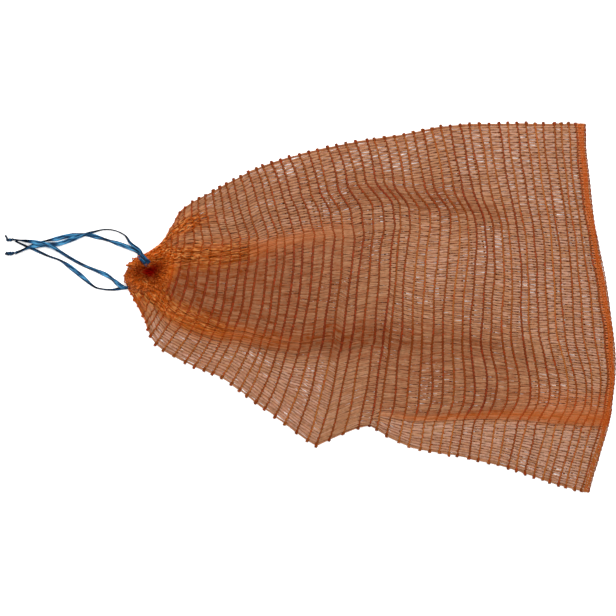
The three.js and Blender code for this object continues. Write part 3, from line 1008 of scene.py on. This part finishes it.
def make_tape(name, route, widths, node):
    """A run of tape from inside the net to its knot, its open widths given at places along x."""
    line, length = smooth_line(route, TAPE_STEP)
    tangent = unit(np.gradient(line, axis=0))
    opened = np.interp(-line[:, 0], [-x for x in widths[0]], widths[1])
    wide = np.minimum(TAPE_OPENING * opened, TAPE_WIDTH)
    piece = tape_mesh(name, line, wide, np.cross(np.array([0, 0, 1.0]), tangent))
    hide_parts(node)


top_knot_line = knot_line(
    start=[[-333.2, 52, 1.6]], centre=(-336, 51.3, 2.1), turns=2.5, points=26, step=0.45,
    radii=(1.4, 1.3), tail=[[-344, 50.4, 1]])
top_knot = make_knot(
    "drawstring_top_knot", top_knot_line, ((0, 0.15, 0.7, 1), (2.2, 3.2, 3, 1.6)),
    "top_tape_knot")
low_knot_line = knot_line(
    start=[[-334.4, 64, 1.6]], centre=(-336.6, 64.2, 1.8), turns=2, points=22, step=0.4,
    radii=(1.1, 1.1), tail=[[-342.6, 66.6, 1.4], [-344, 68.6, 1]])
low_knot = make_knot(
    "drawstring_low_knot", low_knot_line, ((0, 0.15, 0.7, 0.85, 1), (1.6, 2.6, 2.6, 1.9, 1.9)),
    "low_tape_knot")
make_tape(
    "drawstring_top_outer", np.concatenate([TOP_START, TOP_OUTER_ROUTE]), (
        (-204, -214, -218.6, -222, -226.7, -231.4, -238, -251.5, -258.3, -263, -268.4, -275, -281.5, -288,
         -301, -308, -314.4, -320, -325.7, -329.5, -334.2),
        (2.4, 2.6, 3, 2.6, 2.2, 1.3, 1.1, 1.2, 1.5, 2.1, 2.5, 3, 3.8, 4.2,
         4.2, 4.2, 3.8, 2.8, 1.7, 1.5, 1.9),
    ), "top_tape_outer")
make_tape(
    "drawstring_top_inner", np.concatenate([TOP_START + TOP_INNER_ASIDE, TOP_INNER_ROUTE]), (
        (-206, -214, -219.5, -222, -231.4, -238.2, -244.9, -251.5, -258.3, -263, -268.4, -275, -282.5, -290,
         -295.6, -300.4, -305.5, -316, -320, -325.7, -334.2),
        (2.4, 2.6, 3, 3, 3.6, 3.6, 2.1, 2.3, 3.6, 3.2, 2.5, 2.8, 3.8, 4.2,
         3.6, 2.3, 1.4, 1.5, 1.9, 1.5, 1.9),
    ), "top_tape_inner")
make_tape(
    "drawstring_low_inner", np.concatenate([LOW_START, LOW_INNER_ROUTE]), (
        (-222, -229, -234.5, -239, -242, -245, -249.6, -254, -258, -266.5, -292.9, -297.9,
         -303, -310.7, -318, -324, -329, -335.1),
        (2.2, 2.2, 3.8, 3.6, 2.5, 2.8, 3.8, 3.2, 2.7, 2.4, 2.6, 3,
         3.6, 4, 3, 2.4, 1.4, 1.4),
    ), "low_tape_inner")
make_tape(
    "drawstring_low_outer", np.concatenate([LOW_START + LOW_OUTER_ASIDE, LOW_OUTER_ROUTE]), (
        (-222, -229, -235.5, -243, -250.5, -257, -261, -266.5, -273, -278, -285.3, -290.4,
         -295.4, -303, -308, -313, -320, -324, -334.6),
        (2.2, 2.2, 2.5, 1.7, 1.3, 1.3, 1.7, 2.7, 3.8, 3.9, 3.2, 1.9,
         1.5, 1.7, 2.1, 2.3, 2, 1.7, 1.4),
    ), "low_tape_outer")

# The table: a plain white sheet under soft, even studio light from above, a little stronger from
# the far side, so that the gaps of the net show pale and shaded.
FLOOR_HALF = 3
FLOOR_WHITE = 0.92
FLOOR_ROUGHNESS = 0.9
# The sheet also glows a little: painted light that lifts the shade the net casts on it.
FLOOR_GLOW = 0.3
SKY_STRENGTH = 0.7
LAMP_SIZE = 1.2
LAMP_POWER = 34
LAMP_PLACE = (0.1, 0.65, 1.5)
LAMP_TILT = (math.radians(-23), math.radians(5), 0)

floor = bpy.data.objects.new("floor", bpy.data.meshes.new("floor"))
sheet = bmesh.new()
bmesh.ops.create_grid(sheet, x_segments=1, y_segments=1, size=FLOOR_HALF)
sheet.to_mesh(floor.data)
sheet.free()
white = bpy.data.materials.new("white_floor")
white.use_nodes = True
white_shader = white.node_tree.nodes["Principled BSDF"]
white_shader.inputs["Base Color"].default_value = (FLOOR_WHITE, FLOOR_WHITE, FLOOR_WHITE, 1)
white_shader.inputs["Roughness"].default_value = FLOOR_ROUGHNESS
white_shader.inputs["Emission Color"].default_value = (1, 1, 1, 1)
white_shader.inputs["Emission Strength"].default_value = FLOOR_GLOW
floor.data.materials.append(white)
bpy.context.scene.collection.objects.link(floor)

world = bpy.data.worlds.new("studio")
world.use_nodes = True
world.node_tree.nodes["Background"].inputs["Color"].default_value = (1, 1, 1, 1)
world.node_tree.nodes["Background"].inputs["Strength"].default_value = SKY_STRENGTH
bpy.context.scene.world = world

lamp = bpy.data.objects.new("softbox", bpy.data.lights.new("softbox", "AREA"))
lamp.data.shape = "SQUARE"
lamp.data.size = LAMP_SIZE
lamp.data.energy = LAMP_POWER
lamp.location = LAMP_PLACE
lamp.rotation_euler = LAMP_TILT
bpy.context.scene.collection.objects.link(lamp)

bpy.context.scene.view_settings.view_transform = "Standard"
bpy.context.scene.cycles.filter_width = 1.55
